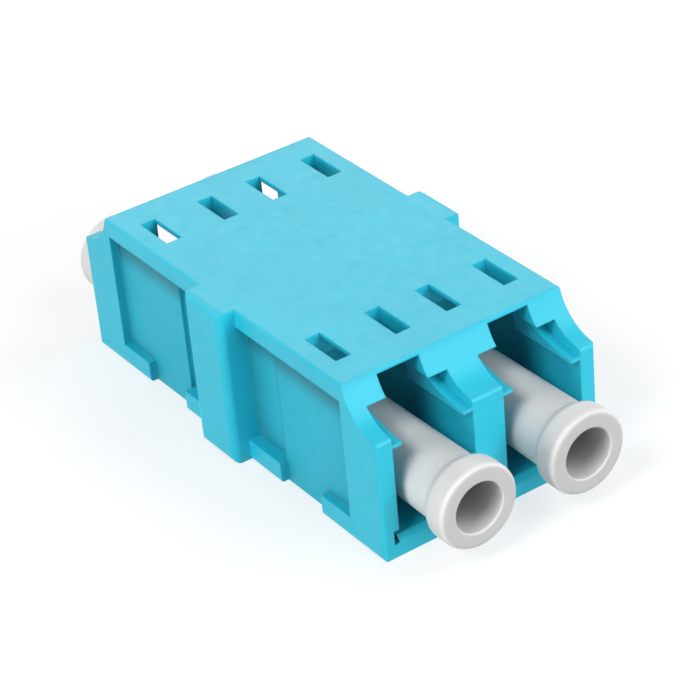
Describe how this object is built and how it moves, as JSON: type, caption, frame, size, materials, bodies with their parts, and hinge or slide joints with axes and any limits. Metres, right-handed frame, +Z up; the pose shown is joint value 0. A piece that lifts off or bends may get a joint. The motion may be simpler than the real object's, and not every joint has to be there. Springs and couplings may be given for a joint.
{
  "type": "lc fibre adapter",
  "caption": "Duplex LC fibre optic adapter without flange: flat moulded housing with plug ports at each end, latch slots and windows, a band round the middle and push-in dust caps.",
  "frame": {"origin": "centre of the underside", "axes": "+X across the two channels, +Y from the front ports to the rear ports, +Z up, towards the latch slots"},
  "size_m": [0.0142, 0.0316, 0.0084],
  "materials": {
    "housing_plastic": "fine satin moulded plastic, aqua",
    "retainer_plastic": "plain natural plastic, satin",
    "sleeve_ceramic": "ground white zirconia",
    "cap_plastic": "soft satin plastic, light grey"
  },
  "bodies": {
    "adapter": {"housing": "housing_plastic", "sleeve_retainer_left": "retainer_plastic", "sleeve_retainer_right": "retainer_plastic", "alignment_sleeve_left": "sleeve_ceramic", "alignment_sleeve_right": "sleeve_ceramic"},
    "front_left_cap": {"front_left_cap": "cap_plastic"},
    "front_right_cap": {"front_right_cap": "cap_plastic"},
    "rear_left_cap": {"rear_left_cap": "cap_plastic"},
    "rear_right_cap": {"rear_right_cap": "cap_plastic"}
  },
  "joints": [
    {"name": "front_left_cap_pull", "type": "slide", "parent": "adapter", "child": "front_left_cap", "axis": [0, -1, 0], "range_m": [0, 0.01]},
    {"name": "front_right_cap_pull", "type": "slide", "parent": "adapter", "child": "front_right_cap", "axis": [0, -1, 0], "range_m": [0, 0.01]},
    {"name": "rear_left_cap_pull", "type": "slide", "parent": "adapter", "child": "rear_left_cap", "axis": [0, 1, 0], "range_m": [0, 0.01]},
    {"name": "rear_right_cap_pull", "type": "slide", "parent": "adapter", "child": "rear_right_cap", "axis": [0, 1, 0], "range_m": [0, 0.01]}
  ]
}
